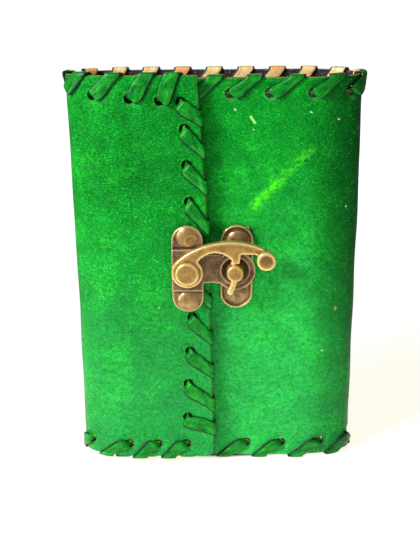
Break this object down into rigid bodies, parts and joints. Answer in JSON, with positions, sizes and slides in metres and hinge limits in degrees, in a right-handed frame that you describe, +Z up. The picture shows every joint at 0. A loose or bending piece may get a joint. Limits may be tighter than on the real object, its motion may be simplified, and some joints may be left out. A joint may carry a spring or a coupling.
{
  "type": "leather-bound journal",
  "caption": "Hand-laced leather journal with a wrap-round cover, a flap over the front and a metal swing clasp, closed and standing on its lower edge.",
  "frame": {"origin": "middle of the foot of the whole book, clasp and lace included, on the surface it stands on", "axes": "+Z up along the book's height, +X to the right towards the spine, +Y from the front cover towards the rear cover; the front faces -Y"},
  "size_m": [0.0911, 0.0297, 0.1289],
  "materials": {
    "dyed_leather": "hand-dyed green leather, mottled, with a slight sheen and pale worn edges",
    "lace_leather": "green leather lace with dark cut edges and tan flesh side",
    "lining": "black textured cloth lining",
    "paper": "cream hand-made paper",
    "binding_cloth": "unbleached cotton cloth",
    "thread": "waxed linen thread",
    "antique_brass": "antiqued brass, dark in the recesses and worn bright on edges",
    "worn_brass": "antiqued brass, more worn where it is handled"
  },
  "bodies": {
    "book": {"leather_cover": "dyed_leather", "cover_lining": "lining", "page_block": "paper", "spine_cloth": "binding_cloth", "binding_thread": "thread", "lace_top": "lace_leather", "lace_bottom": "lace_leather", "lace_flap": "lace_leather", "lace_fore_edge": "lace_leather", "hasp_plate": "antique_brass", "catch_plate": "antique_brass", "catch_post": "worn_brass", "pivot_rivet": "worn_brass", "rivet_caps": "worn_brass", "rivet_posts": "antique_brass"},
    "swing_arm": {"swing_arm": "worn_brass"}
  },
  "joints": [
    {"name": "arm_swing", "type": "hinge", "parent": "book", "child": "swing_arm", "pos_m": [-0.0085, -0.01068, 0.069], "axis": [0, -1, 0], "range_deg": [0, 298]}
  ]
}
